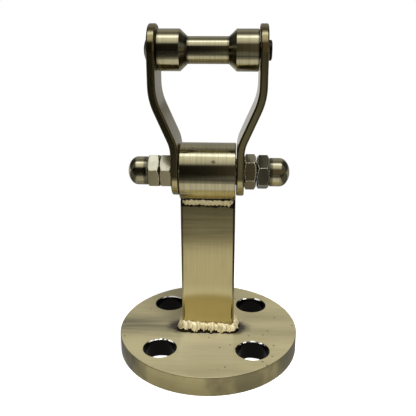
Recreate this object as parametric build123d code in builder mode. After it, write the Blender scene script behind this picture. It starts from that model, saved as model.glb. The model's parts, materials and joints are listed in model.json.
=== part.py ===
"""Swinging shackle pad eye: a bolted round flange carries a welded post with a bearing barrel on top.
A stud turns in the barrel and carries two cranked straps, and a waisted roller turns between their far ends.

Millimetres, +Z up, origin at the centre of the flange's underside. The stud and the roller lie along X.
"""

import os
from math import sqrt

from build123d import *

# ---------------------------------------------------------------- driving dimensions
# base flange
flange_diameter = 100.0
flange_thickness = 11.0
flange_rim_radius = 0.6
bolt_circle_diameter = 70.0
bolt_hole_diameter = 17.0
bolt_hole_count = 4
bolt_hole_chamfer = 0.7

# post, a flat bar that stands on the flange
post_width = 28.8
post_depth = 12.0
post_corner_radius = 1.4

# barrel, the bearing housing that lies across the top of the post
pivot_height = 102.4
barrel_radius = 15.0
barrel_half_length = 14.3
barrel_chamfer = 0.4
barrel_waist_bore_radius = 11.6

# fillet welds
base_weld_width = 3.0
base_weld_height = 5.2
base_weld_lip = 0.4
barrel_weld_drop = 3.8
barrel_weld_width = 3.2
barrel_weld_bulge = 0.5
barrel_weld_length = 26.6

# two shielded deep-groove ball bearings, 10 x 26 x 8
bearing_bore_radius = 5.0
bearing_outer_radius = 13.0
bearing_width = 8.0
bearing_recess = 0.3
inner_shoulder_radius = 7.3
outer_shoulder_radius = 10.9
ball_pitch_radius = 9.0
ball_radius = 2.35
groove_radius = 2.42
ball_count = 7
cage_inner_radius = 8.3
cage_outer_radius = 9.7
cage_half_width = 2.9
cage_pocket_radius = 2.46
shield_gap = 0.25
shield_thickness = 0.4
shield_inset = 0.3
race_edge_chamfer = 0.3

# stud and the hardware on it
stud_radius = 5.0
stud_half_length = 37.0
stud_end_chamfer = 0.8
thread_pitch = 1.5
thread_depth = 0.9
thread_root_width = 0.2
sleeve_bore_radius = 5.1
sleeve_outer_radius = 6.9
nut_across_flats = 16.0
lock_nut_thickness = 6.2
nut_bore_radius = 5.05
nut_face_radius = 7.6
nut_chamfer_slope = 0.58
dome_nut_hex_length = 6.1
dome_nut_length = 16.9
dome_radius = 7.4
dome_straight_length = 5.4
dome_neck_radius = 7.1
dome_neck_length = 0.5
dome_nut_bore_depth = 13.4
left_dome_nut_gap = 0.2
right_dome_nut_gap = 0.4
# where each hexagon stopped when it was tightened: the tilt of one corner above -Y
left_lock_nut_turn = 15.0
left_dome_nut_turn = 15.0
right_lock_nut_turn = 45.0
right_dome_nut_turn = 27.0

# straps, cranked outward from the barrel to the roller
strap_width = 25.0
strap_thickness = 4.0
strap_lower_inner_x = 14.55
strap_upper_inner_x = 24.95
strap_lower_corner_z = 117.8
strap_upper_corner_z = 141.6
strap_lower_bend_radius = 20.0
strap_upper_bend_radius = 28.0
strap_edge_radius = 0.9
strap_blank_allowance = 1.0

# roller and its axle
axle_height = 163.4
roller_half_length = 24.7
roller_radius = 10.1
roller_waist_radius = 6.6
roller_waist_half_length = 10.1
roller_land_start = 13.8
roller_edge_chamfer = 0.4
axle_radius = 4.0
roller_bore_radius = 4.06
axle_head_radius = 6.0
axle_head_rim = 1.0
axle_head_crown = 1.6
axle_peened_radius = 4.9
axle_peened_height = 1.9
axle_peened_edge = 0.4

# ---------------------------------------------------------------- worked out from the above
post_half_depth = post_depth / 2
seam_drop = sqrt(barrel_radius**2 - post_half_depth**2)
bearing_centre = barrel_half_length - bearing_recess - bearing_width / 2
bearing_outer_face = bearing_centre + bearing_width / 2
bearing_inner_face = bearing_centre - bearing_width / 2
strap_lower_outer_x = strap_lower_inner_x + strap_thickness
strap_upper_outer_x = strap_upper_inner_x + strap_thickness
axle_spacing = axle_height - pivot_height
lock_nut_end = strap_lower_outer_x + lock_nut_thickness
ball_step = 360 / ball_count

pivot_axis = Axis((0, 0, pivot_height), (1, 0, 0))
axle_axis = Axis((0, 0, axle_height), (1, 0, 0))
pivot_profile = Plane((0, 0, pivot_height), x_dir=(1, 0, 0), z_dir=(0, -1, 0))
axle_profile = Plane((0, 0, axle_height), x_dir=(1, 0, 0), z_dir=(0, -1, 0))


def across(x, height):
    """The plane square to X at x, its origin at that height, its local x along Y and its local y along Z."""
    return Plane((x, 0, height), x_dir=(0, 1, 0), z_dir=(1, 0, 0))


def save(piece, name):
    """Labels a finished piece and writes it to its own STEP file."""
    piece.part.label = name
    export_step(piece.part, f"parts/{name}.step")


os.makedirs("parts", exist_ok=True)

# ---------------------------------------------------------------- base flange
with BuildPart() as base_flange:
    Cylinder(flange_diameter / 2, flange_thickness, align=(Align.CENTER, Align.CENTER, Align.MIN))
    fillet(base_flange.edges().filter_by(GeomType.CIRCLE), flange_rim_radius)
    with Locations((0, 0, flange_thickness)):
        with PolarLocations(bolt_circle_diameter / 2, bolt_hole_count, start_angle=45):
            Hole(bolt_hole_diameter / 2)
    hole_edges = base_flange.edges().filter_by(
        lambda edge: edge.geom_type == GeomType.CIRCLE and abs(edge.radius - bolt_hole_diameter / 2) < 0.01
    )
    chamfer(hole_edges, bolt_hole_chamfer)
save(base_flange, "base_flange")

# ---------------------------------------------------------------- post, its top coped to the barrel
with BuildPart() as post:
    with BuildSketch(Plane.XY.offset(flange_thickness)):
        RectangleRounded(post_width, post_depth, post_corner_radius)
    extrude(amount=pivot_height - flange_thickness)
    with BuildSketch(across(0, pivot_height)):
        Circle(barrel_radius)
    extrude(amount=post_width, both=True, mode=Mode.SUBTRACT)
save(post, "post")

# ---------------------------------------------------------------- weld bead round the foot of the post
with BuildPart() as base_weld:
    with BuildSketch(Plane.XY.offset(flange_thickness)):
        RectangleRounded(
            post_width + 2 * base_weld_width,
            post_depth + 2 * base_weld_width,
            post_corner_radius + base_weld_width,
        )
    with BuildSketch(Plane.XY.offset(flange_thickness + base_weld_height)):
        RectangleRounded(
            post_width + 2 * base_weld_lip,
            post_depth + 2 * base_weld_lip,
            post_corner_radius + base_weld_lip,
        )
    loft()
    with BuildSketch(Plane.XY.offset(flange_thickness)):
        RectangleRounded(post_width, post_depth, post_corner_radius)
    extrude(amount=base_weld_height, mode=Mode.SUBTRACT)
save(base_weld, "base_weld")


# ---------------------------------------------------------------- weld beads between the post and the barrel
def barrel_weld(side):
    """The bead between one broad face of the post and the barrel, at the front for side -1."""
    face = side * post_half_depth
    post_toe = -seam_drop - barrel_weld_drop
    barrel_toe = -sqrt(barrel_radius**2 - (post_half_depth + barrel_weld_width) ** 2)
    bulge = barrel_weld_bulge / sqrt(2)
    with BuildPart() as bead:
        with BuildSketch(across(0, pivot_height)):
            with BuildLine():
                crown = ThreePointArc(
                    (face, post_toe),
                    (face + side * (barrel_weld_width / 2 + bulge), (post_toe + barrel_toe) / 2 - bulge),
                    (face + side * barrel_weld_width, barrel_toe),
                )
                Polyline(crown @ 1, (face, barrel_toe), crown @ 0)
            make_face()
            Circle(barrel_radius, mode=Mode.SUBTRACT)
        extrude(amount=barrel_weld_length / 2, both=True)
    return bead


save(barrel_weld(-1), "barrel_weld_front")
save(barrel_weld(1), "barrel_weld_rear")


# ---------------------------------------------------------------- turned pieces
def turned(profile_plane, axis, points):
    """A piece turned about an axis along X from its half section, a list of (place along X, radius)."""
    with BuildPart() as piece:
        with BuildSketch(profile_plane):
            with BuildLine():
                Polyline(*points, close=True)
            make_face()
        revolve(axis=axis)
    return piece


bearing_seat_bottom = barrel_half_length - bearing_recess - bearing_width
barrel = turned(
    pivot_profile,
    pivot_axis,
    [
        (-barrel_half_length, bearing_outer_radius),
        (-barrel_half_length, barrel_radius - barrel_chamfer),
        (-barrel_half_length + barrel_chamfer, barrel_radius),
        (barrel_half_length - barrel_chamfer, barrel_radius),
        (barrel_half_length, barrel_radius - barrel_chamfer),
        (barrel_half_length, bearing_outer_radius),
        (bearing_seat_bottom, bearing_outer_radius),
        (bearing_seat_bottom, barrel_waist_bore_radius),
        (-bearing_seat_bottom, barrel_waist_bore_radius),
        (-bearing_seat_bottom, bearing_outer_radius),
    ],
)
save(barrel, "barrel")

bearing_spacer = turned(
    pivot_profile,
    pivot_axis,
    [
        (-bearing_inner_face, sleeve_bore_radius),
        (-bearing_inner_face, sleeve_outer_radius),
        (bearing_inner_face, sleeve_outer_radius),
        (bearing_inner_face, sleeve_bore_radius),
    ],
)
save(bearing_spacer, "bearing_spacer")


# ---------------------------------------------------------------- ball bearings
def race(centre, bore, outside):
    """One ring of a bearing, with the ball groove in it and its corners broken."""
    half = bearing_width / 2
    with BuildPart() as ring:
        with BuildSketch(pivot_profile) as section:
            with Locations((centre, (bore + outside) / 2)):
                Rectangle(bearing_width, outside - bore)
            chamfer(section.vertices(), race_edge_chamfer)
            with Locations((centre, ball_pitch_radius)):
                Circle(groove_radius, mode=Mode.SUBTRACT)
        revolve(axis=pivot_axis)
    return ring


def shields(centre):
    """The pair of pressed shields that close a bearing, held in its outer race."""
    near_edge = bearing_width / 2 - shield_inset - shield_thickness / 2
    middle = (inner_shoulder_radius + shield_gap + outer_shoulder_radius) / 2
    height = outer_shoulder_radius - inner_shoulder_radius - shield_gap
    with BuildPart() as pair:
        with BuildSketch(pivot_profile):
            with Locations((centre - near_edge, middle), (centre + near_edge, middle)):
                Rectangle(shield_thickness, height)
        revolve(axis=pivot_axis)
    return pair


def ball_set(centre):
    """The ring of separate balls of one bearing."""
    with BuildPart() as balls:
        with Locations(across(centre, pivot_height)):
            with PolarLocations(ball_pitch_radius, ball_count):
                Sphere(ball_radius)
    return balls


def cage(centre):
    """The cage that keeps the balls of one bearing apart, with a round pocket for each."""
    with BuildPart() as ring:
        with BuildSketch(across(centre - cage_half_width, pivot_height)):
            Circle(cage_outer_radius)
            Circle(cage_inner_radius, mode=Mode.SUBTRACT)
        extrude(amount=2 * cage_half_width)
        with Locations(across(centre, pivot_height)):
            with PolarLocations(ball_pitch_radius, ball_count):
                Cylinder(
                    cage_pocket_radius,
                    4 * (cage_outer_radius - cage_inner_radius),
                    rotation=(0, 90, 0),
                    mode=Mode.SUBTRACT,
                )
    return ring


for side, name in ((-1, "left"), (1, "right")):
    centre = side * bearing_centre
    save(race(centre, outer_shoulder_radius, bearing_outer_radius), f"{name}_outer_race")
    save(race(centre, bearing_bore_radius, inner_shoulder_radius), f"{name}_inner_race")
    save(shields(centre), f"{name}_bearing_shields")
    save(ball_set(centre), f"{name}_bearing_balls")
    save(cage(centre), f"{name}_bearing_cage")
    shim = turned(
        pivot_profile,
        pivot_axis,
        [
            (side * bearing_outer_face, sleeve_bore_radius),
            (side * bearing_outer_face, sleeve_outer_radius),
            (side * strap_lower_inner_x, sleeve_outer_radius),
            (side * strap_lower_inner_x, sleeve_bore_radius),
        ],
    )
    save(shim, f"{name}_shim_washer")


# ---------------------------------------------------------------- stud, threaded at both ends
def threaded_end(side):
    """The outline of one threaded end as rings of the thread's section, from the shank out to the tip."""
    points = []
    flank = (thread_pitch - thread_root_width) / 2
    turns = int((stud_half_length - stud_end_chamfer - lock_nut_end + lock_nut_thickness) / thread_pitch)
    start = stud_half_length - stud_end_chamfer - turns * thread_pitch
    for turn in range(turns):
        begin = start + turn * thread_pitch
        points.append((side * begin, stud_radius))
        points.append((side * (begin + flank), stud_radius - thread_depth))
        points.append((side * (begin + flank + thread_root_width), stud_radius - thread_depth))
    points.append((side * (stud_half_length - stud_end_chamfer), stud_radius))
    points.append((side * stud_half_length, stud_radius - stud_end_chamfer))
    return points


pivot_stud = turned(
    pivot_profile,
    pivot_axis,
    [(-stud_half_length, 0)] + threaded_end(-1)[::-1] + threaded_end(1) + [(stud_half_length, 0)],
)
save(pivot_stud, "pivot_stud")


# ---------------------------------------------------------------- nuts
def hexagon_blank(x, length, turn):
    """A hexagon from x towards +X, a corner tilted up from -Y by turn degrees, both faces chamfered round."""
    corner = nut_across_flats / sqrt(3) + 0.1
    bevel = (corner - nut_face_radius) * nut_chamfer_slope
    with BuildPart() as blank:
        with BuildSketch(across(x, pivot_height)):
            RegularPolygon(nut_across_flats / 2, 6, major_radius=False, rotation=-turn)
        extrude(amount=length)
        with BuildSketch(pivot_profile):
            with BuildLine():
                Polyline(
                    (x, 0),
                    (x, nut_face_radius),
                    (x + bevel, corner),
                    (x + length - bevel, corner),
                    (x + length, nut_face_radius),
                    (x + length, 0),
                    close=True,
                )
            make_face()
        revolve(axis=pivot_axis, mode=Mode.INTERSECT)
    return blank


def lock_nut(side, turn):
    """The thin nut that clamps a strap."""
    low = min(side * strap_lower_outer_x, side * lock_nut_end)
    blank = hexagon_blank(low, lock_nut_thickness, turn)
    with BuildPart() as nut:
        add(blank.part)
        with BuildSketch(across(low, pivot_height)):
            Circle(nut_bore_radius)
        extrude(amount=lock_nut_thickness, mode=Mode.SUBTRACT)
    return nut


def dome_nut(turn, gap):
    """The closed nut that covers the right end of the stud, its hexagon towards the lock nut."""
    seat = lock_nut_end + gap
    dome_start = seat + dome_nut_hex_length
    round_start = dome_start + dome_straight_length
    tip = seat + dome_nut_length
    blank = hexagon_blank(seat, dome_nut_hex_length, turn)
    with BuildPart() as nut:
        add(blank.part)
        with BuildSketch(pivot_profile):
            with BuildLine():
                Polyline(
                    (tip, 0),
                    (dome_start - dome_neck_length, 0),
                    (dome_start - dome_neck_length, dome_neck_radius),
                    (dome_start + dome_neck_length, dome_neck_radius),
                    (dome_start + dome_neck_length, dome_radius),
                    (round_start, dome_radius),
                )
                EllipticalCenterArc((round_start, 0), tip - round_start, dome_radius, arc_size=90)
            make_face()
        revolve(axis=pivot_axis)
        with BuildSketch(across(seat, pivot_height)):
            Circle(nut_bore_radius)
        extrude(amount=dome_nut_bore_depth, mode=Mode.SUBTRACT)
    return nut


save(lock_nut(-1, left_lock_nut_turn), "left_lock_nut")
save(lock_nut(1, right_lock_nut_turn), "right_lock_nut")
with BuildPart() as left_dome_nut:
    mirror(dome_nut(left_dome_nut_turn, left_dome_nut_gap).part, about=Plane.YZ)
save(left_dome_nut, "left_dome_nut")
save(dome_nut(right_dome_nut_turn, right_dome_nut_gap), "right_dome_nut")


# ---------------------------------------------------------------- cranked straps
def strap(side):
    """One flat bar with round ends, cranked outward above the barrel, with a hole at each end."""
    end_radius = strap_width / 2
    with BuildPart() as bar:
        with BuildSketch(Plane.XZ):
            with BuildLine():
                inner_face = FilletPolyline(
                    (side * strap_lower_inner_x, pivot_height - end_radius - strap_blank_allowance),
                    (side * strap_lower_inner_x, strap_lower_corner_z),
                    (side * strap_upper_inner_x, strap_upper_corner_z),
                    (side * strap_upper_inner_x, axle_height + end_radius + strap_blank_allowance),
                    radius=[strap_lower_bend_radius, strap_upper_bend_radius],
                )
                offset(
                    inner_face,
                    amount=strap_thickness,
                    side=Side.RIGHT if side > 0 else Side.LEFT,
                    closed=True,
                )
            make_face()
        extrude(amount=end_radius, both=True)
        with BuildSketch(across(side * strap_upper_outer_x, (pivot_height + axle_height) / 2)):
            SlotCenterToCenter(axle_spacing, strap_width, rotation=90)
        extrude(amount=-side * strap_upper_outer_x, mode=Mode.INTERSECT)
        outline = bar.edges().filter_by(Axis.Y, reverse=True)
        fillet(outline.filter_by(lambda edge: edge.length > 1.2 * strap_thickness), strap_edge_radius)
        for height, radius in ((pivot_height, nut_bore_radius), (axle_height, axle_radius)):
            with BuildSketch(across(0, height)):
                Circle(radius)
            extrude(amount=2 * side * strap_upper_outer_x, mode=Mode.SUBTRACT)
    return bar


save(strap(-1), "left_strap")
save(strap(1), "right_strap")

# ---------------------------------------------------------------- waisted roller
roller = turned(
    axle_profile,
    axle_axis,
    [
        (-roller_half_length, roller_bore_radius),
        (-roller_half_length, roller_radius - roller_edge_chamfer),
        (-roller_half_length + roller_edge_chamfer, roller_radius),
        (-roller_land_start, roller_radius),
        (-roller_waist_half_length, roller_waist_radius),
        (roller_waist_half_length, roller_waist_radius),
        (roller_land_start, roller_radius),
        (roller_half_length - roller_edge_chamfer, roller_radius),
        (roller_half_length, roller_radius - roller_edge_chamfer),
        (roller_half_length, roller_bore_radius),
    ],
)
save(roller, "roller")

# ---------------------------------------------------------------- axle, a rivet: crowned head, peened end
crown_sphere_radius = (axle_head_radius**2 + axle_head_crown**2) / (2 * axle_head_crown)
crown_base_x = -strap_upper_outer_x - axle_head_rim
with BuildPart() as roller_axle:
    with BuildSketch(axle_profile):
        with BuildLine():
            crown = RadiusArc(
                (crown_base_x - axle_head_crown, 0),
                (crown_base_x, axle_head_radius),
                crown_sphere_radius,
            )
            Polyline(
                crown @ 1,
                (-strap_upper_outer_x, axle_head_radius),
                (-strap_upper_outer_x, axle_radius),
                (strap_upper_outer_x, axle_radius),
                (strap_upper_outer_x, axle_peened_radius),
                (strap_upper_outer_x + axle_peened_height - axle_peened_edge, axle_peened_radius),
                (strap_upper_outer_x + axle_peened_height, axle_peened_radius - 2 * axle_peened_edge),
                (strap_upper_outer_x + axle_peened_height, 0),
                crown @ 0,
            )
        make_face()
    revolve(axis=axle_axis)
save(roller_axle, "roller_axle")
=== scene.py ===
"""Antique brass finishes, weld beads and a small studio for a flanged swivel pad eye.

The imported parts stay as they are. Each gets a finish made of nodes, and the weld beads are built here with
their ripples, in place of the plain fillets.
"""

import json
import random
from math import cos, pi, radians, sin, sqrt, tau

import bmesh
import bpy
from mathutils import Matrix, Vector


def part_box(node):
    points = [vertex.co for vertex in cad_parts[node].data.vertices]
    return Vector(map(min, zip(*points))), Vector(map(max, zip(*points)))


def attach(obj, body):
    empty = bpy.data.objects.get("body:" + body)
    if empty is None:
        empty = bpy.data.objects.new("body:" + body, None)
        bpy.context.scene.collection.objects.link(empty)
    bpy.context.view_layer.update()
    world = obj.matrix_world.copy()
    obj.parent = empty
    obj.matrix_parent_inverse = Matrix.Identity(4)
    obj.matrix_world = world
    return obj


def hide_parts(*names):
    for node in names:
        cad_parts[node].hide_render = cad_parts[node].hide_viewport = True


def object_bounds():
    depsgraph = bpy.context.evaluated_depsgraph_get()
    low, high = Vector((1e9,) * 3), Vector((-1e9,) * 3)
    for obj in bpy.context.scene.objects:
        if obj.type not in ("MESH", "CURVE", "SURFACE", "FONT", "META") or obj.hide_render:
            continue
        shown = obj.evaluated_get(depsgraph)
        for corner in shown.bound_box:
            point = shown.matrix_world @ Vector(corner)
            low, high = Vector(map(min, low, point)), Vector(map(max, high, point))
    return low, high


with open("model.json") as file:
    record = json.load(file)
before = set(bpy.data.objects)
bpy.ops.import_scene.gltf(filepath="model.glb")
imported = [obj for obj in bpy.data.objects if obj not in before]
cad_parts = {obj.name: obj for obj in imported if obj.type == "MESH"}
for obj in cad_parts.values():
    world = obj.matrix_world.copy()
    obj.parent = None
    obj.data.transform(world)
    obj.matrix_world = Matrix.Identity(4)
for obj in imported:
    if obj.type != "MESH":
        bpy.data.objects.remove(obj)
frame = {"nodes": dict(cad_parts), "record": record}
cad_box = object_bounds()

bl_info = {
    "name": "Swivel Pad Eye",
    "version": (1, 0, 0),
    "blender": (4, 5, 0),
    "location": "View3D > Sidebar > Pad Eye",
    "description": "Finishes, weld beads and studio for a flanged swivel pad eye",
    "category": "Object",
}

MM = 0.001
BOLTS = next(mount for mount in frame["record"]["mounts"] if mount["name"] == "base_bolts")

flange_low, flange_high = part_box("base_flange")
post_low, post_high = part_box("post")
barrel_low, barrel_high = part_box("barrel")
base_weld_low, base_weld_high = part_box("base_weld")
front_weld_low, front_weld_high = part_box("barrel_weld_front")

FLANGE_TOP = flange_high.z
POST_HALF_WIDTH = post_high.x
POST_HALF_DEPTH = post_high.y
BARREL_RADIUS = (barrel_high.z - barrel_low.z) / 2
PIVOT_HEIGHT = (barrel_high.z + barrel_low.z) / 2
HOLE_RADIUS = BOLTS["dims"]["hole_r_mm"] * MM
HOLE_OFFSET = BOLTS["dims"]["pcd_mm"] * MM / 2 / sqrt(2)
POST_CORNER = 1.4 * MM
DOME_NUT_HEXAGON = 6.1 * MM
DOME_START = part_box("right_dome_nut")[0].x + DOME_NUT_HEXAGON
ROLLER_WAIST_CORNER = 10.3 * MM
ROLLER_END_CORNER = 24.9 * MM
TOE_SINK = 0.08 * MM
ROOT_SINK = 0.3 * MM

# Rubbed brass on worn edges, also used for the painted reflection of the post on the flange.
RUBBED_BRASS_AND_REFLECTION = (0.7, 0.64, 0.45)
# Painted glints at the far rims of the bolt holes.
RIM_GLINT = (0.95, 0.93, 0.85)
# Painted gold reflection near the foot of the post.
PAINTED_GOLD_REFLECTION = (0.85, 0.72, 0.36)
WARM_FRONT = (1.0, 0.85, 0.62)
BLACK = (0.0, 0.0, 0.0)


# ------------------------------------------------------------------ shader maths


class Wire:
    """An output socket. Sums on it add Math nodes, or Vector Math nodes where it carries a vector."""

    def __init__(self, finish, socket):
        self.finish = finish
        self.socket = socket

    def _sum(self, operation, left, right):
        if self.socket.type == "VECTOR":
            return self.finish.node("ShaderNodeVectorMath", {"operation": operation}, {0: left, 1: right})
        return self.finish.node("ShaderNodeMath", {"operation": operation}, {0: left, 1: right})

    def __add__(self, other):
        return self._sum("ADD", self, other)

    def __radd__(self, other):
        return self._sum("ADD", other, self)

    def __sub__(self, other):
        return self._sum("SUBTRACT", self, other)

    def __rsub__(self, other):
        return self._sum("SUBTRACT", other, self)

    def __mul__(self, other):
        return self._sum("MULTIPLY", self, other)

    def __rmul__(self, other):
        return self._sum("MULTIPLY", other, self)

    def __truediv__(self, other):
        return self._sum("DIVIDE", self, other)

    def __abs__(self):
        return self.finish.node("ShaderNodeMath", {"operation": "ABSOLUTE"}, {0: self})


class Nodes:
    """A tree of shader nodes under construction, ending in one shader."""

    def __init__(self, tree, shader):
        self.tree = tree
        self.shader = tree.nodes[shader]

    def node(self, kind, settings=None, inputs=None, output=0):
        """Adds a node, makes its settings, sets or links its sockets, and gives back one of its outputs."""
        made = self.tree.nodes.new(kind)
        for key, value in (settings or {}).items():
            if key == "stops":
                self._set_stops(made.color_ramp, value)
            else:
                setattr(made, key, value)
        for key, value in (inputs or {}).items():
            self._fill(made.inputs[key], value)
        return Wire(self, made.outputs[output])

    def _set_stops(self, ramp, stops):
        while len(ramp.elements) < len(stops):
            ramp.elements.new(1.0)
        for element, (place, colour) in zip(ramp.elements, stops):
            element.position = place
            element.color = (*colour, 1.0)

    def _fill(self, socket, value):
        if isinstance(value, Wire):
            self.tree.links.new(value.socket, socket)
        elif socket.type == "RGBA" and len(value) == 3:
            socket.default_value = (*value, 1.0)
        else:
            socket.default_value = value

    def place(self):
        """The point on the part, in metres from its origin."""
        return self.node("ShaderNodeTexCoord", output="Object")

    def split(self, vector):
        """The three numbers of a vector."""
        parts = self.node("ShaderNodeSeparateXYZ", None, {0: vector})
        outputs = parts.socket.node.outputs
        return [Wire(self, outputs[axis]) for axis in ("X", "Y", "Z")]

    def flat(self, x, y):
        """A vector that lies flat, from its first two numbers."""
        return self.node("ShaderNodeCombineXYZ", None, {"X": x, "Y": y, "Z": 0.0})

    def length(self, vector):
        """How long a vector is."""
        return self.node("ShaderNodeVectorMath", {"operation": "LENGTH"}, {0: vector}, "Value")

    def facing(self):
        """The three numbers of the surface's own direction."""
        return self.split(self.node("ShaderNodeNewGeometry", output="Normal"))

    def noise(self, place, spread, detail=2.0, roughness=0.5, distortion=0.0):
        """Noise whose grain is set for each axis, in waves to the metre."""
        return self.node(
            "ShaderNodeTexNoise",
            None,
            {
                "Vector": place * spread,
                "Scale": 1.0,
                "Detail": detail,
                "Roughness": roughness,
                "Distortion": distortion,
            },
            output="Fac",
        )

    def ramp(self, value, low, high, bottom=0.0, top=1.0):
        """A smooth step from one value to another as the input goes from low to high."""
        return self.node(
            "ShaderNodeMapRange",
            {"interpolation_type": "SMOOTHSTEP"},
            {"Value": value, "From Min": low, "From Max": high, "To Min": bottom, "To Max": top},
        )

    def between(self, share, first, second):
        """Mixes two numbers."""
        return self.node("ShaderNodeMix", {"data_type": "FLOAT"}, {"Factor": share, 2: first, 3: second})

    def blend(self, share, below, above, mode="MIX"):
        """Mixes two colours."""
        return self.node(
            "ShaderNodeMix",
            {"data_type": "RGBA", "blend_type": mode, "clamp_factor": True},
            {"Factor": share, 6: below, 7: above},
            output=2,
        )

    def set(self, **sockets):
        """Sets or links the shader's own sockets, named with underscores for spaces."""
        for key, value in sockets.items():
            self._fill(self.shader.inputs[key.replace("_", " ").title()], value)


class Finish(Nodes):
    """A material on one Principled shader."""

    def __init__(self, name):
        self.material = bpy.data.materials.new(name)
        self.material.use_nodes = True
        super().__init__(self.material.node_tree, "Principled BSDF")


def dress(node_names, material):
    """Puts a finish on every material slot of the named parts."""
    for name in node_names:
        for slot in frame["nodes"][name].material_slots:
            slot.material = material


# ------------------------------------------------------------------ finishes


def antique(finish, tone, shade, cloud, streaks, wear, streak_share=0.12):
    """Brass with clouds of a darker shade and fine brush streaks, worn lighter where wear says."""
    clouded = finish.blend(finish.ramp(cloud, 0.45, 0.8, 0.0, 0.35), tone, shade)
    streaked = finish.blend(finish.ramp(streaks, 0.35, 0.75, 0.0, streak_share), clouded, shade)
    return finish.blend(wear * 0.6, streaked, RUBBED_BRASS_AND_REFLECTION)


def edge_wear(finish, radius):
    """Nearly 1 along sharp edges and 0 on the flats, from how far a rounded normal leans from the true."""
    rounded = finish.node("ShaderNodeBevel", {"samples": 6}, {"Radius": radius})
    true_normal = finish.node("ShaderNodeNewGeometry", output="Normal")
    lean = finish.node(
        "ShaderNodeVectorMath", {"operation": "DOT_PRODUCT"}, {0: rounded, 1: true_normal}, "Value"
    )
    return finish.ramp(lean, 0.99, 0.8, 0.0, 1.0)


def grooves(finish, height, depth, normal=None):
    """A normal from a height that varies between 0 and 1, cut to the depth given in metres."""
    inputs = {"Height": height, "Distance": depth, "Strength": 1.0}
    if normal is not None:
        inputs["Normal"] = normal
    return finish.node("ShaderNodeBump", None, inputs)


def flange_darkening(finish, facing_up):
    """How dark the flange is: smoky bands beside the post, smoky wisps out to the left, patches round the
    rim, and a rim that darkens towards its ends.
    """
    place = finish.place()
    x, y, _ = finish.split(place)
    smoke_band = finish.noise(place, (11.0, 85.0, 10.0), detail=3.0, distortion=0.3)
    beside_post = finish.ramp(abs(x), 15 * MM, 22 * MM) * finish.ramp(abs(y - 1 * MM), 17 * MM, 3 * MM)
    on_left = finish.ramp(x, 5 * MM, -20 * MM, 0.35, 1.0)
    banded = (beside_post * 0.55 * on_left + 0.12) * finish.ramp(smoke_band, 0.3, 0.6, 0.35, 1.0) * facing_up

    wobble = (finish.noise(place, (18.0, 30.0, 10.0), detail=3.0) - 0.5) * 14 * MM
    left_band = finish.ramp(abs(y + 7 * MM + wobble), 15 * MM, 0.0)
    left_band = left_band * finish.ramp(x, -14 * MM, -45 * MM, 0.3, 0.62)
    wisps = finish.noise(place, (12.0, 260.0, 10.0), detail=4.0, roughness=0.6)
    left_wisps = left_band * finish.ramp(wisps, 0.3, 0.68, 0.1, 1.0)
    left_smoke = left_wisps * finish.ramp(x, -11 * MM, -16 * MM) * facing_up

    rim_patch = finish.noise(place, (60.0, 25.0, 35.0), detail=3.0)
    # The rim also darkens towards its left and right ends, most on the left.
    rim_ends = finish.ramp(x, 32 * MM, 45 * MM, 0.0, 0.12) + finish.ramp(x, -30 * MM, -45 * MM, 0.0, 0.45)
    rim_darkening = (finish.ramp(rim_patch, 0.44, 0.62, 0.0, 0.55) + rim_ends) * (1 - facing_up)
    return banded + left_smoke + rim_darkening


def weld_halo(finish, facing_up):
    """How heat-darkened the flange is round the weld: a ragged ring, left open in front of the bead."""
    place = finish.place()
    x, y, _ = finish.split(place)
    weld_reach = finish.length(finish.flat((abs(x) - POST_HALF_WIDTH) * 0.85, y + 2 * MM))
    jagged = weld_reach + (finish.noise(place, (260.0, 500.0, 10.0), detail=3.0) - 0.5) * 5 * MM
    ring = finish.ramp(jagged, 9.5 * MM, 4.0 * MM, 0.0, 0.98)
    return ring * finish.ramp(abs(x), 13 * MM, 15.5 * MM) * facing_up


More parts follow.
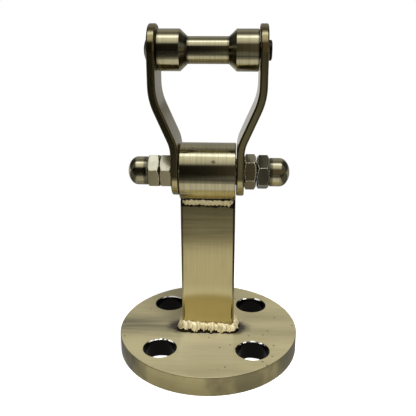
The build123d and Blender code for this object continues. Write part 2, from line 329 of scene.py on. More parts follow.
def flange_finish(colours):
    """Brushed across the top and round the rim, smoky beside the weld, and black in the bolt holes, with a
    painted reflection of the post on the top in front of it and painted glints on the holes' far rims.
    """
    finish = Finish("flange antique brass")
    place = finish.place()
    x, y, _ = finish.split(place)
    _, facing_back, facing_z = finish.facing()
    facing_up = finish.ramp(abs(facing_z), 0.5, 0.9)

    top_streaks = finish.noise(place, (30.0, 1400.0, 10.0), detail=3.0)
    rim_streaks = finish.noise(place, (30.0, 30.0, 1600.0), detail=3.0)
    streaks = finish.between(facing_up, rim_streaks, top_streaks)
    cloud = finish.noise(place, (14.0, 75.0, 30.0), detail=4.0, roughness=0.6)
    tone = finish.blend(facing_up * 0.6, colours.brass, colours.turned)
    brass = antique(finish, tone, colours.antique, cloud, streaks, edge_wear(finish, 0.5 * MM))

    # Painted reflection of the post: the top is lighter in a band in front of the post, as wide as the post.
    in_front = finish.ramp(abs(x), 15.5 * MM, 13.5 * MM) * finish.ramp(y, -46 * MM, -14 * MM, 0.05, 0.3)
    painted_post_reflection = in_front * facing_up * finish.ramp(y, -6 * MM, -10 * MM)
    polished = finish.blend(painted_post_reflection, brass, RUBBED_BRASS_AND_REFLECTION)
    smoked = finish.blend(flange_darkening(finish, facing_up), polished, colours.smoke_and_shade)
    heated = finish.blend(weld_halo(finish, facing_up), smoked, colours.scorch_and_shade)

    pit_cells = finish.node(
        "ShaderNodeTexVoronoi", {"voronoi_dimensions": "2D"}, {"Vector": place, "Scale": 95.0}, "Distance"
    )
    pit_pick = finish.noise(place, (40.0, 40.0, 40.0), detail=0.0)
    pits = finish.ramp(pit_cells, 0.05, 0.03) * finish.ramp(pit_pick, 0.52, 0.57) * facing_up
    pitted = finish.blend(pits, heated, colours.soot)

    from_hole = finish.length(finish.flat(abs(x) - HOLE_OFFSET, abs(y) - HOLE_OFFSET))
    in_hole = finish.ramp(from_hole, HOLE_RADIUS + 0.66 * MM, HOLE_RADIUS + 0.54 * MM)
    in_bore = finish.ramp(from_hole, HOLE_RADIUS + 0.2 * MM, HOLE_RADIUS + 0.08 * MM)
    chamfered = finish.blend(in_hole, pitted, colours.smoke_and_shade)
    coloured = finish.blend(in_bore, chamfered, colours.soot)

    # Painted glints: pale, less metallic spots on the chamfer at the far side of each bolt hole.
    glint_spots = finish.ramp(finish.noise(place, (240.0, 240.0, 240.0), detail=2.0), 0.46, 0.56)
    glint = glint_spots * (in_hole - in_bore) * finish.ramp(facing_back, -0.35, -0.6)
    finish.set(
        base_color=finish.blend(glint, coloured, RIM_GLINT),
        metallic=1.0 - facing_up * 0.48 * (1 - in_hole) - glint * 0.9,
        roughness=0.34 + facing_up * 0.12 + streaks * 0.06 - in_hole * 0.22,
        normal=grooves(finish, streaks - pits * 2.0, 0.02 * MM),
        coat_weight=0.12,
        coat_roughness=0.12,
    )
    return finish.material


def heat_marks_and_shade(finish, brass, colours):
    """Darkens the post in streaks straight across near the top, with heat marks over the foot bead, a painted
    shadow under the barrel's bead and painted shade down its right edge.
    """
    place = finish.place()
    x, y, z = finish.split(place)
    across = finish.noise(place, (22.0, 22.0, 650.0), detail=4.0, roughness=0.65)
    near_top = finish.ramp(z, 55 * MM, 72 * MM)
    brushed = finish.blend(finish.ramp(across, 0.4, 0.7, 0.0, 0.42) * near_top, brass, colours.antique)
    jag = (finish.noise(place, (300.0, 300.0, 60.0), detail=4.0) - 0.5) * 4 * MM
    # Painted shadow: a dark ragged line on the post just under the barrel's bead.
    shadow_under_bead = finish.ramp(z + jag, front_weld_low.z - 0.5 * MM, front_weld_low.z + 0.3 * MM, 0.0, 0.95)
    over_foot = finish.ramp(z + jag, base_weld_high.z + 0.9 * MM, base_weld_high.z + 0.2 * MM, 0.0, 0.75)
    # Painted shade: the post's right edge is darkened, where its rounded corner mirrors the dark side.
    shaded_right_edge = finish.ramp(x, POST_HALF_WIDTH - 1.3 * MM, POST_HALF_WIDTH - 0.6 * MM, 0.0, 0.8)
    shaded_right_edge = shaded_right_edge * finish.ramp(y, -3.5 * MM, -5 * MM)
    return finish.blend(shadow_under_bead + over_foot + shaded_right_edge, brushed, colours.scorch_and_shade)


def bar_finish(name, colours, spread, shade_share, worn, heated=False):
    """Flat bar brushed along its length, with painted shade on the faces that look up and a painted gold
    reflection near the foot. Heated bar also has the marks that welding left on it, with a painted shadow and
    painted shade.
    """
    finish = Finish(name)
    place = finish.place()
    streaks = finish.noise(place, spread, detail=3.0)
    cloud = finish.noise(place, (60.0, 60.0, 22.0), detail=4.0, roughness=0.6)
    tone = [low + (high - low) * (1 - shade_share) for low, high in zip(colours.antique, colours.brass)]
    brass = antique(finish, tone, colours.antique, cloud, streaks, edge_wear(finish, 0.35 * MM) * worn)
    # Painted shade: faces that look up are darkened towards the darker brass.
    shaded_tops = finish.ramp(finish.facing()[2], 0.3, 0.75, 0.0, 0.65)
    brass = finish.blend(shaded_tops, brass, colours.antique)
    if heated:
        brass = heat_marks_and_shade(finish, brass, colours)
    # Painted reflection: the bar turns gold near the foot, as if mirroring the flange and bead below.
    near_foot = finish.ramp(finish.split(place)[2], 42 * MM, 30 * MM, 0.0, 0.45)
    finish.set(
        base_color=finish.blend(near_foot, brass, PAINTED_GOLD_REFLECTION),
        metallic=1.0,
        roughness=0.1 + streaks * 0.07,
        normal=grooves(finish, streaks, 0.002 * MM),
        coat_weight=0.1,
        coat_roughness=0.1,
    )
    return finish.material


def turned_finish(name, colours, groove_depth, corners):
    """Turned about X, with rings that vary along X, and painted shade in the corners at the given X."""
    finish = Finish(name)
    place = finish.place()
    rings = finish.noise(place, (1500.0, 35.0, 35.0), detail=3.0)
    cloud = finish.noise(place, (70.0, 30.0, 30.0), detail=4.0, roughness=0.6)
    brass = antique(finish, colours.turned, colours.antique, cloud, rings, edge_wear(finish, 0.3 * MM), 0.3)
    stain_cells = finish.noise(place, (160.0, 260.0, 260.0), detail=2.0)
    darkened_tone = finish.blend(finish.ramp(stain_cells, 0.7, 0.76, 0.0, 0.7), brass, colours.soot)
    across = abs(finish.split(place)[0])
    # Painted shade: darker in the corners at each given X.
    for corner in corners:
        shaded_corner = finish.ramp(abs(across - corner), 1.7 * MM, 0.2 * MM, 0.0, 0.75)
        darkened_tone = finish.blend(shaded_corner, darkened_tone, colours.smoke_and_shade)
    finish.set(
        base_color=darkened_tone,
        metallic=1.0,
        roughness=0.09 + rings * 0.07,
        normal=grooves(finish, rings, groove_depth),
        coat_weight=0.15,
        coat_roughness=0.1,
    )
    return finish.material


def nut_finish(colours):
    """Paler plating on the hexagons, with a light line worn along each edge and painted shade on the faces
    that look down, and brass on the domes.
    """
    finish = Finish("nut plating")
    place = finish.place()
    x = finish.split(place)[0]
    on_dome = finish.ramp(abs(x), DOME_START + 0.3 * MM, DOME_START + 0.6 * MM)
    on_hexagon = 1 - on_dome
    # Painted shade: hexagon faces that look down are darkened.
    shaded_underside = finish.ramp(finish.facing()[2], 0.1, -0.35, 0.0, 0.85) * on_hexagon
    tone = finish.blend(shaded_underside, finish.blend(on_dome, colours.nut, colours.turned), colours.antique)
    rings = finish.noise(place, (1400.0, 60.0, 60.0), detail=3.0)
    cloud = finish.noise(place, (150.0, 150.0, 150.0), detail=3.0, roughness=0.6)
    # The right dome nut's hexagon is darker.
    outer_right = finish.ramp(x, DOME_START - 7 * MM, DOME_START - 6 * MM, 0.0, 0.6) * on_hexagon
    tone = finish.blend(outer_right, tone, colours.smoke_and_shade)
    wear = edge_wear(finish, 0.6 * MM) * on_hexagon
    brass = antique(finish, tone, colours.antique, cloud, rings, wear * 1.6)
    # Darker in a ring where each dome meets its hexagon.
    in_recess = finish.ramp(abs(abs(x) - DOME_START - 0.6 * MM), 1.9 * MM, 0.7 * MM, 0.0, 0.85)
    darkened_tone = finish.blend(in_recess, brass, colours.smoke_and_shade)
    rounded = finish.node("ShaderNodeBevel", {"samples": 6}, {"Radius": 0.5 * MM})
    finish.set(
        base_color=darkened_tone,
        metallic=1.0 - wear * 0.8,
        roughness=0.15 - on_dome * 0.04 + rings * 0.08,
        normal=grooves(finish, rings, 0.003 * MM, rounded),
        coat_weight=0.2,
        coat_roughness=0.1,
    )
    return finish.material


def weld_finish(name, metal, colours, valley_share):
    """Pale gold on the ripples' crests, with painted shade between them, and black along the toe and in the
    crevice from burn and painted shade.
    """
    finish = Finish(name)
    place = finish.place()
    grain = finish.noise(place, (900.0, 900.0, 900.0), detail=3.0)
    patch = finish.noise(place, (300.0, 300.0, 300.0), detail=3.0, roughness=0.6)
    valley = finish.node("ShaderNodeAttribute", {"attribute_name": "valley"}, None, "Fac")
    scorched = finish.node("ShaderNodeAttribute", {"attribute_name": "scorched"}, None, "Fac")
    mottled = finish.blend(finish.ramp(patch, 0.42, 0.7, 0.0, 0.7), metal, colours.brass)
    # Painted shade in the valleys between the ripples.
    shaded = finish.blend(finish.ramp(valley, 0.5, 1.0, 0.0, valley_share), mottled, colours.antique)
    # Burn and painted shade: black along the toes, in the crevice and at the hidden root.
    burnt_and_shaded = finish.ramp(scorched + (patch - 0.5) * 0.5, 0.42, 0.58)
    finish.set(
        base_color=finish.blend(burnt_and_shaded, shaded, colours.scorch_and_shade),
        metallic=0.55 + burnt_and_shaded * 0.45,
        roughness=0.34 + grain * 0.12 - burnt_and_shaded * 0.22,
        normal=grooves(finish, grain, 0.015 * MM),
        coat_weight=0.1,
        coat_roughness=0.1,
    )
    return finish.material


def steel_finish(name, tone, roughness, spread):
    """Plain or blackened steel with fine tool marks."""
    finish = Finish(name)
    place = finish.place()
    marks = finish.noise(place, spread, detail=3.0)
    patch = finish.noise(place, (180.0, 180.0, 180.0), detail=3.0)
    darker = [channel * 0.55 for channel in tone]
    finish.set(
        base_color=finish.blend(finish.ramp(patch, 0.4, 0.75, 0.0, 0.6), tone, darker),
        metallic=1.0,
        roughness=roughness + marks * 0.12,
        normal=grooves(finish, marks, 0.006 * MM),
    )
    return finish.material


# ------------------------------------------------------------------ weld beads


def wander(seed, waves, size):
    """A smooth random function of the share of the way along, the same at 0 and at 1, of about this size."""
    dice = random.Random(seed)
    terms = [(order, dice.uniform(-1, 1), dice.uniform(0, tau)) for order in waves]

    def height(share):
        return size * sum(weight * sin(tau * order * share + phase) for order, weight, phase in terms) / 2

    return height


def rounded_foot(share):
    """A point on the post's rounded outline and the way out from it, at a share of the way round."""
    radius = POST_CORNER
    half_x = POST_HALF_WIDTH - radius
    half_y = POST_HALF_DEPTH - radius
    corner = radius * pi / 2
    runs = [half_x, corner, 2 * half_y, corner, 2 * half_x, corner, 2 * half_y, corner, half_x]
    travel = share * sum(runs)
    centres = [(half_x, -half_y), (half_x, half_y), (-half_x, half_y), (-half_x, -half_y)]
    starts = [
        (0.0, -POST_HALF_DEPTH),
        (POST_HALF_WIDTH, -half_y),
        (half_x, POST_HALF_DEPTH),
        (-POST_HALF_WIDTH, half_y),
        (-half_x, -POST_HALF_DEPTH),
    ]
    ways = [(1, 0), (0, 1), (-1, 0), (0, -1), (1, 0)]
    for index, length in enumerate(runs):
        if travel <= length or index == len(runs) - 1:
            break
        travel -= length
    if index % 2 == 0:
        way = Vector((*ways[index // 2], 0.0))
        start = Vector((*starts[index // 2], 0.0))
        return start + way * travel, Vector((way.y, -way.x, 0.0))
    centre = Vector((*centres[index // 2], 0.0))
    angle = -pi / 2 + (index // 2) * pi / 2 + travel / radius
    out = Vector((cos(angle), sin(angle), 0.0))
    return centre + out * radius, out


def bead_mesh(name, sections, length, closed, pitch, ripple_depth, seed):
    """A rippled bead. Each section is (first toe, second toe, root, taper, share darkened by burn and painted
    shade at each toe).
    """
    dice = random.Random(seed)
    crests = [0.0]
    while crests[-1] < length:
        crests.append(crests[-1] + pitch * dice.uniform(0.75, 1.3))
    steps = 26
    count = len(sections)
    mesh = bmesh.new()
    valley = mesh.verts.layers.float.new("valley")
    scorched = mesh.verts.layers.float.new("scorched")
    rings = []
    for station, (first, second, root, taper, dark_first, dark_second) in enumerate(sections):
        travel = length * station / count
        middle = (first + second) / 2
        out = (middle - root).normalized()
        width = (second - first).length
        ring = []
        for step in range(steps + 1):
            across = step / steps
            lift = sin(pi * across)
            lean = travel - pitch * 0.9 * lift
            behind = [crest for crest in crests if crest <= lean]
            start = behind[-1] if behind else crests[0] - pitch
            after = [crest for crest in crests if crest > lean]
            end = after[0] if after else start + pitch
            phase = min(1.0, max(0.0, (lean - start) / (end - start)))
            scallop = 1 - abs(2 * phase**1.7 - 1) ** 2.2
            bulge = width * 0.16 * lift**0.8
            ripple = ripple_depth * (scallop - 0.5) * lift**0.6
            point = first.lerp(second, across) + out * (bulge + ripple) * taper
            vert = mesh.verts.new(point)
            vert[valley] = 1 - scallop
            # How much burn and painted shade each point gets, most at the toes.
            from_edges = min(across / dark_first, (1 - across) / dark_second)
            vert[scorched] = max(0.0, 1 - from_edges / 2)
            ring.append(vert)
        hidden = mesh.verts.new(root)
        hidden[scorched] = 1.0
        ring.append(hidden)
        rings.append(ring)
    pairs = list(zip(rings, rings[1:]))
    if closed:
        pairs.append((rings[-1], rings[0]))
    for here, there in pairs:
        for index in range(len(here)):
            following = (index + 1) % len(here)
            mesh.faces.new((here[index], there[index], there[following], here[following]))
    if not closed:
        mesh.faces.new(list(reversed(rings[0])))
        mesh.faces.new(rings[-1])
    bmesh.ops.recalc_face_normals(mesh, faces=mesh.faces)
    for face in mesh.faces:
        face.smooth = len(face.verts) == 4
    data = bpy.data.meshes.new(name)
    mesh.to_mesh(data)
    mesh.free()
    piece = bpy.data.objects.new(name, data)
    bpy.context.scene.collection.objects.link(piece)
    return piece


def foot_bead(sizes):
    """The bead all round the foot of the post."""
    count = 720
    spread = wander(11, (2, 3, 5, 9, 14, 23), 0.45 * MM)
    climb = wander(5, (2, 4, 7, 12, 19, 29), 0.5 * MM)
    jag = wander(8, (3, 6, 11, 17, 26, 41, 60), 0.07)
    sections = []
    for station in range(count):
        share = station / count
        point, out = rounded_foot(share)
        up = Vector((0, 0, 1))
        run_out = 0.7 * MM * max(0.0, 1 - abs(share - 0.028) / 0.014)
        slope = -0.8 * MM * sin(tau * share)
        lower = point + out * (sizes.foot_width + spread(share) + run_out) + up * (FLANGE_TOP - TOE_SINK)
        upper = point - out * TOE_SINK + up * (FLANGE_TOP + sizes.foot_height + slope + climb(share))
        root = point - out * ROOT_SINK + up * (FLANGE_TOP - ROOT_SINK)
        # Burn and painted shade along the ragged toe on the flange.
        dark_toe = 0.2 + jag(share) * 1.8 - 120 * run_out
        sections.append((upper, lower, root, 1.0, 0.03, max(0.02, dark_toe)))
    outline = 4 * (POST_HALF_WIDTH + POST_HALF_DEPTH)
    return bead_mesh("weld_bead_foot", sections, outline, True, sizes.ripple, sizes.ripple_depth, 3)


def barrel_bead(sizes, side, seed):
    """The bead under the barrel on one broad face of the post."""
    count = 300
    drop = wander(seed, (1, 2, 3, 5, 8, 13, 21), 0.4 * MM)
    reach = wander(seed + 1, (1, 2, 4, 7, 11), 0.35 * MM)
    jag = wander(seed + 2, (4, 9, 15, 22, 31), 0.06)
    half = front_weld_high.x
    sections = []
    for station in range(count):
        share = (station + 0.5) / count
        taper = min(1.0, 14 * min(share, 1 - share)) ** 0.5
        x = -half + 2 * half * share
        lump = 1.1 * MM * max(0.0, 1 - abs(share - 0.92) / 0.07)
        low = front_weld_low.z + 0.5 * MM + (1 - taper) * 1.5 * MM + drop(share) - lump
        on_post = Vector((x, side * (POST_HALF_DEPTH - TOE_SINK), low))
        depth = POST_HALF_DEPTH + (sizes.barrel_width + reach(share)) * taper
        below_pivot = sqrt((BARREL_RADIUS - TOE_SINK) ** 2 - depth**2)
        on_barrel = Vector((x, side * depth, PIVOT_HEIGHT - below_pivot))
        root_height = PIVOT_HEIGHT - sqrt(BARREL_RADIUS**2 - POST_HALF_DEPTH**2) + 0.4 * MM
        root = Vector((x, side * (POST_HALF_DEPTH - ROOT_SINK), root_height))
        # Burn and painted shade at both toes: darker in the crevice on the barrel, and a painted shadow at
        # the toe on the post.
        sections.append((on_barrel, on_post, root, taper * 0.7, 0.15 + jag(share), 0.2 + jag(1 - share)))
    name = "weld_bead_front" if side < 0 else "weld_bead_rear"
    return bead_mesh(name, sections, 2 * half, False, sizes.ripple * 1.6, sizes.ripple_depth * 0.2, seed)


# ------------------------------------------------------------------ settings


class PadEyeColours(bpy.types.PropertyGroup):
    """The tones that the finishes are mixed from."""

    brass: bpy.props.FloatVectorProperty(
        name="Brass", description="Brushed brass", subtype="COLOR", min=0, max=1,
        default=(0.55, 0.465, 0.222),
    )
    turned: bpy.props.FloatVectorProperty(
        name="Turned", description="Turned brass", subtype="COLOR", min=0, max=1,
        default=(0.53, 0.475, 0.285),
    )
    # Also used for painted shade on faces that look up or down and between the weld ripples.
    antique: bpy.props.FloatVectorProperty(
        name="Antique", description="Darkened brass", subtype="COLOR", min=0, max=1,
        default=(0.2, 0.168, 0.08),
    )
    nut: bpy.props.FloatVectorProperty(
        name="Nuts", description="Paler plating of the nuts", subtype="COLOR", min=0, max=1,
        default=(0.44, 0.405, 0.275),
    )
    weld: bpy.props.FloatVectorProperty(
        name="Weld", description="Pale gold of the beads", subtype="COLOR", min=0, max=1,
        default=(0.86, 0.74, 0.44),
    )
    # Also used for painted shade in the roller's corners, and to darken parts of the nuts and the bolt holes'
    # chamfers.
    smoke_and_shade: bpy.props.FloatVectorProperty(
        name="Smoke", description="Smoky streaks on the flange", subtype="COLOR", min=0, max=1,
        default=(0.11, 0.1, 0.062),
    )
    # Also used for painted shadow and painted shade at the welds and down the post's right edge, beside the
    # real heat marks.
    scorch_and_shade: bpy.props.FloatVectorProperty(
        name="Scorch", description="Heat marks at the welds", subtype="COLOR", min=0, max=1,
        default=(0.035, 0.026, 0.02),
    )
    soot: bpy.props.FloatVectorProperty(
        name="Black", description="Bolt holes, pits and stains", subtype="COLOR", min=0, max=1,
        default=(0.008, 0.007, 0.006),
    )
    black_steel: bpy.props.FloatVectorProperty(
        name="Axle", description="Blackened axle", subtype="COLOR", min=0, max=1,
        default=(0.035, 0.03, 0.024),
    )
    bearing: bpy.props.FloatVectorProperty(
        name="Bearings", description="Bearing steel", subtype="COLOR", min=0, max=1,
        default=(0.58, 0.58, 0.57),
    )


class PadEyeWelds(bpy.types.PropertyGroup):
    """The sizes of the weld beads."""

    foot_width: bpy.props.FloatProperty(
        name="Foot width", description="Reach of the foot bead on the flange", unit="LENGTH",
        default=base_weld_high.x - POST_HALF_WIDTH,
    )
    foot_height: bpy.props.FloatProperty(
        name="Foot height", description="Climb of the foot bead up the post", unit="LENGTH",
        default=base_weld_high.z - FLANGE_TOP,
    )
    barrel_width: bpy.props.FloatProperty(
        name="Barrel width", description="Reach of the beads along the barrel's underside", unit="LENGTH",
        default=(-POST_HALF_DEPTH - front_weld_low.y) * 0.7,
    )
    ripple: bpy.props.FloatProperty(
        name="Ripple", description="Distance between ripples", unit="LENGTH", default=2.2 * MM
    )
    ripple_depth: bpy.props.FloatProperty(
        name="Ripple depth", description="Height of a ripple", unit="LENGTH", default=0.2 * MM
    )


class PadEyeStudio(bpy.types.PropertyGroup):
    """The camera, the light and the floor."""

    azimuth: bpy.props.FloatProperty(
        name="Azimuth", description="Way round from the front", subtype="ANGLE", default=radians(3.0)
    )
    elevation: bpy.props.FloatProperty(
        name="Elevation", description="Height above the middle", subtype="ANGLE", default=radians(19.05)
    )
    distance: bpy.props.FloatProperty(
        name="Distance", description="From the camera to the middle", unit="LENGTH", default=0.3
    )
    lens: bpy.props.FloatProperty(name="Lens", description="Focal length in millimetres", default=48.6)
    middle_height: bpy.props.FloatProperty(
        name="Middle", description="Height that the camera looks at", unit="LENGTH", default=0.0821
    )
    fill_power: bpy.props.FloatProperty(name="Fill", description="Power in watts", default=14.0)
    softbox_power: bpy.props.FloatProperty(name="Softbox", description="Power in watts", default=0.36)


# ------------------------------------------------------------------ operators


class PADEYE_OT_flange(bpy.types.Operator):
    """Finish the flange"""

    bl_idname = "padeye.flange"
    bl_label = "Flange"

    def execute(self, context):
        dress(["base_flange"], flange_finish(context.scene.padeye_colours))
        return {"FINISHED"}


class PADEYE_OT_bars(bpy.types.Operator):
    """Finish the post and the two straps, all cut from flat bar"""

    bl_idname = "padeye.bars"
    bl_label = "Post and straps"

    def execute(self, context):
        colours = context.scene.padeye_colours
        dress(["post"], bar_finish("post antique brass", colours, (1500.0, 1500.0, 25.0), 0.04, 0.5, True))
        straps = bar_finish("strap antique brass", colours, (1300.0, 1300.0, 35.0), 0.3, 0.1)
        dress(["left_strap", "right_strap"], straps)
        return {"FINISHED"}


class PADEYE_OT_welds(bpy.types.Operator):
    """Build the rippled weld beads in place of the plain ones"""

    bl_idname = "padeye.welds"
    bl_label = "Weld beads"

    def execute(self, context):
        sizes = context.scene.padeye_welds
        colours = context.scene.padeye_colours
        pale = weld_finish("weld bead at the foot", colours.weld, colours, 0.55)
        # Painted shade: the beads under the barrel get a darker copy of the same weld colour.
        shaded_weld = [channel * 0.66 for channel in colours.weld]
        shaded_bead_finish = weld_finish("weld bead at the barrel", shaded_weld, colours, 0.2)
        beads = {
            "base_weld": foot_bead(sizes),
            "barrel_weld_front": barrel_bead(sizes, -1, 21),
            "barrel_weld_rear": barrel_bead(sizes, 1, 33),
        }
        for node, bead in beads.items():
            bead.data.materials.append(pale if node == "base_weld" else shaded_bead_finish)
            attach(bead, "base")
            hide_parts(node)
        return {"FINISHED"}


class PADEYE_OT_turned(bpy.types.Operator):
    """Finish the barrel, the roller and the spacer, all turned from round bar"""

    bl_idname = "padeye.turned"
    bl_label = "Barrel and roller"

    def execute(self, context):
        colours = context.scene.padeye_colours
        corners = [ROLLER_WAIST_CORNER, ROLLER_END_CORNER]
        dress(["barrel", "bearing_spacer"], turned_finish("barrel antique brass", colours, 0.003 * MM, []))
        dress(["roller"], turned_finish("roller antique brass", colours, 0.003 * MM, corners))
        return {"FINISHED"}


class PADEYE_OT_nuts(bpy.types.Operator):
    """Finish the nuts and the shim washers"""

    bl_idname = "padeye.nuts"
    bl_label = "Nuts and washers"

    def execute(self, context):
        sides = ("left", "right")
        names = [f"{side}_{kind}" for side in sides for kind in ("lock_nut", "dome_nut", "shim_washer")]
        dress(names, nut_finish(context.scene.padeye_colours))
        return {"FINISHED"}


class PADEYE_OT_steel(bpy.types.Operator):
    """Finish the axle, the stud and the bearings"""

    bl_idname = "padeye.steel"
    bl_label = "Axle, stud and bearings"

    def execute(self, context):
        colours = context.scene.padeye_colours
        dress(["roller_axle"], steel_finish("blackened axle", colours.black_steel, 0.3, (500.0, 90.0, 90.0)))
        dress(["pivot_stud"], steel_finish("stud steel", colours.bearing, 0.35, (900.0, 60.0, 60.0)))
        races = steel_finish("ground race steel", colours.bearing, 0.16, (900.0, 40.0, 40.0))
        balls = steel_finish("polished ball steel", colours.bearing, 0.08, (300.0, 300.0, 300.0))
        pressed = steel_finish("pressed sheet steel", colours.bearing, 0.3, (200.0, 700.0, 700.0))
        for side in ("left", "right"):
            dress([f"{side}_outer_race", f"{side}_inner_race"], races)
            dress([f"{side}_bearing_balls"], balls)
            dress([f"{side}_bearing_cage", f"{side}_bearing_shields"], pressed)
        return {"FINISHED"}


class PADEYE_OT_studio(bpy.types.Operator):
    """Lay the floor, hang the softbox, light the room and set the camera"""

    bl_idname = "padeye.studio"
    bl_label = "Studio"

    def execute(self, context):
        studio = context.scene.padeye_studio
        context.scene.view_settings.view_transform = "Standard"
        lay_floor()
        light_room(context.scene)
        hang_softbox(studio)
        hang_fill(studio)
        set_camera(context.scene, studio)
        return {"FINISHED"}


def lay_floor():
    """A wide pale floor, lit near the object and glowing further out, that looks darker in reflections."""
    half = 6.0
    corners = [(-half, -half, 0), (half, -half, 0), (half, half, 0), (-half, half, 0)]
    data = bpy.data.meshes.new("floor")
    data.from_pydata(corners, [], [(0, 1, 2, 3)])
    floor = bpy.data.objects.new("floor", data)
    floor.location.z = cad_box[0].z - 0.02 * MM
    bpy.context.scene.collection.objects.link(floor)
    finish = Finish("pale floor")
    place = finish.place()
    x, y, _ = finish.split(place)
    reach = finish.length(place)
    mirrored = finish.node("ShaderNodeLightPath", output="Is Glossy Ray")
    glow = finish.ramp(reach, 60 * MM, 200 * MM, 0.5, 1.0)
    # Painted darkness in reflections: the floor as mirrored steps darker in front.
    dark_step = finish.ramp(y, -149 * MM, -163 * MM, 0.0, 0.45)
    fading = finish.ramp(y, -160 * MM, -310 * MM, 0.0, 0.24) + finish.ramp(y, -330 * MM, -650 * MM, 0.0, 0.04)
    in_front = 0.74 - dark_step - fading
    far_right = finish.ramp(x, -60 * MM, 60 * MM, 0.0, 0.21) * finish.ramp(y, -260 * MM, -450 * MM)
    behind = finish.ramp(y, 10 * MM, 70 * MM, 0.0, 0.5) - finish.ramp(y, 140 * MM, 300 * MM, 0.0, 0.3)
    beside = finish.ramp(abs(x), 40 * MM, 60 * MM, 1.0, 0.6)
    beside = beside * finish.ramp(abs(x), 65 * MM, 120 * MM, 1.0, 0.2)
    beside = beside + finish.ramp(y, 60 * MM, 200 * MM)
    far_behind = finish.ramp(x, 10 * MM, 24 * MM, 0.0, 0.24) * finish.ramp(y, 200 * MM, 280 * MM)
    aside = finish.node("ShaderNodeMath", {"operation": "MINIMUM"}, {0: beside, 1: 1.0})
    # Painted contact shadow: the floor near the flange looks darker in reflections.
    near_flange = finish.ramp(reach, 52 * MM, 68 * MM, 0.6, 1.0)
    mirror_glow = (in_front + far_right - behind - far_behind) * aside * near_flange
    white = (1.0, 1.0, 0.995)
    pale = finish.blend(finish.ramp(reach, 60 * MM, 200 * MM), (0.8, 0.8, 0.795), BLACK)
    shown = finish.between(mirrored, glow, mirror_glow)
    finish.set(
        base_color=finish.blend(mirrored, pale, BLACK),
        emission_color=finish.blend(shown, BLACK, white),
        emission_strength=1.0,
        roughness=0.9,
    )
    data.materials.append(finish.material)


def light_room(scene):
    """White to the camera. To all else, dark low in front, bright from there to overhead, and dim behind."""
    room = bpy.data.worlds.new("room")
    room.use_nodes = True
    scene.world = room
    sky = Nodes(room.node_tree, "Background")
    x, y, z = sky.split(sky.node("ShaderNodeTexCoord", output="Generated"))
    angle = sky.node("ShaderNodeMath", {"operation": "ARCTAN2"}, {0: z, 1: 0 - y})
    turn = angle / pi
    levels = {
        0: 0.0,
        37: 0.01,
        45: 0.55,
        52: 0.78,
        64: 1.02,
        74: 1.2,
        88: 1.2,
        98: 0.2,
        110: 0.18,
        126: 0.4,
        145: 0.35,
        180: 0.35,
    }
    stops = [(at / 180, (level, level, level)) for at, level in levels.items()]
    bands = sky.node("ShaderNodeValToRGB", {"stops": stops}, {"Fac": turn})
    front = sky.ramp(turn, 0.26, 0.2) * sky.ramp(x, -0.06, 0.06, 0.005, 0.13)
    aside = sky.ramp(abs(x), 0.28, 0.62, 1.0, 0.12)
    walls = sky.blend(aside, BLACK, bands)
    lit = sky.blend(1.0, walls, sky.blend(front, BLACK, WARM_FRONT), mode="ADD")
    seen = sky.node("ShaderNodeLightPath", output="Is Camera Ray")
    sky.set(color=sky.blend(seen, lit, (1.0, 1.0, 1.0)))


def hang_softbox(studio):
    """The main light, above and a little in front, long enough to run the whole width of the barrel."""
    lamp = bpy.data.lights.new("softbox", "AREA")
    lamp.shape = "RECTANGLE"
    lamp.size = 0.6
    lamp.size_y = 0.11
    lamp.energy = studio.softbox_power
    lamp.color = (0.6, 0.7, 1.0)
    box = bpy.data.objects.new("softbox", lamp)
    height = radians(80)
    reach = 0.55
    box.location = (-0.05, -cos(height) * reach, PIVOT_HEIGHT + sin(height) * reach)
    box.rotation_euler = (height - pi / 2, 0, 0)
    box.visible_camera = False
    bpy.context.scene.collection.objects.link(box)


def hang_fill(studio):
    """A broad soft fill from the front, above and to the right, which the metal does not mirror."""
    lamp = bpy.data.lights.new("fill", "AREA")
    lamp.shape = "DISK"
    lamp.size = 0.6
    lamp.energy = studio.fill_power
    fill = bpy.data.objects.new("fill", lamp)
    fill.location = (0.2, -0.45, 0.8)
    fill.rotation_euler = (-fill.location).to_track_quat("-Z", "Y").to_euler()
    fill.visible_camera = False
    fill.visible_glossy = False
    bpy.context.scene.collection.objects.link(fill)


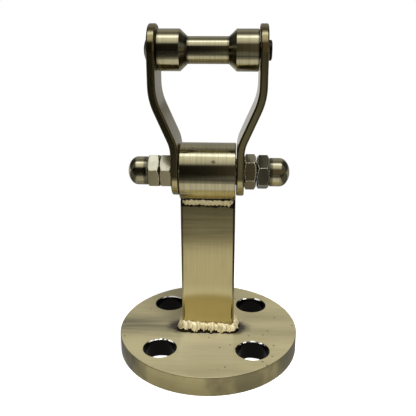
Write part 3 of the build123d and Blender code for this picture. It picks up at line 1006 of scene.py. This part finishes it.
def set_camera(scene, studio):
    """The camera, with the whole object in its square view."""
    middle = Vector((-0.0002, 0, studio.middle_height))
    way = Vector((
        sin(studio.azimuth) * cos(studio.elevation),
        -cos(studio.azimuth) * cos(studio.elevation),
        sin(studio.elevation),
    ))
    data = bpy.data.cameras.new("camera")
    data.lens = studio.lens
    data.sensor_width = 36.0
    data.clip_start = 0.01
    camera = bpy.data.objects.new("camera", data)
    camera.location = middle + way * studio.distance
    camera.rotation_euler = (-way).to_track_quat("-Z", "Y").to_euler()
    scene.collection.objects.link(camera)
    scene.camera = camera


class PADEYE_PT_sidebar(bpy.types.Panel):
    """The pad eye's settings and steps"""

    bl_idname = "PADEYE_PT_sidebar"
    bl_label = "Pad Eye"
    bl_space_type = "VIEW_3D"
    bl_region_type = "UI"
    bl_category = "Pad Eye"

    def draw(self, context):
        column = self.layout.column()
        for group in ("padeye_colours", "padeye_welds", "padeye_studio"):
            settings = getattr(context.scene, group)
            for name in settings.__annotations__:
                column.prop(settings, name)
        for operator in OPERATORS:
            column.operator(operator.bl_idname)


OPERATORS = (
    PADEYE_OT_flange,
    PADEYE_OT_bars,
    PADEYE_OT_welds,
    PADEYE_OT_turned,
    PADEYE_OT_nuts,
    PADEYE_OT_steel,
    PADEYE_OT_studio,
)
CLASSES = (PadEyeColours, PadEyeWelds, PadEyeStudio, *OPERATORS, PADEYE_PT_sidebar)


def register():
    for item in CLASSES:
        bpy.utils.register_class(item)
    bpy.types.Scene.padeye_colours = bpy.props.PointerProperty(type=PadEyeColours)
    bpy.types.Scene.padeye_welds = bpy.props.PointerProperty(type=PadEyeWelds)
    bpy.types.Scene.padeye_studio = bpy.props.PointerProperty(type=PadEyeStudio)


def unregister():
    del bpy.types.Scene.padeye_studio
    del bpy.types.Scene.padeye_welds
    del bpy.types.Scene.padeye_colours
    for item in reversed(CLASSES):
        bpy.utils.unregister_class(item)


def main():
    register()
    bpy.ops.padeye.flange()
    bpy.ops.padeye.bars()
    bpy.ops.padeye.welds()
    bpy.ops.padeye.turned()
    bpy.ops.padeye.nuts()
    bpy.ops.padeye.steel()
    bpy.ops.padeye.studio()


if __name__ == "__main__":
    main()
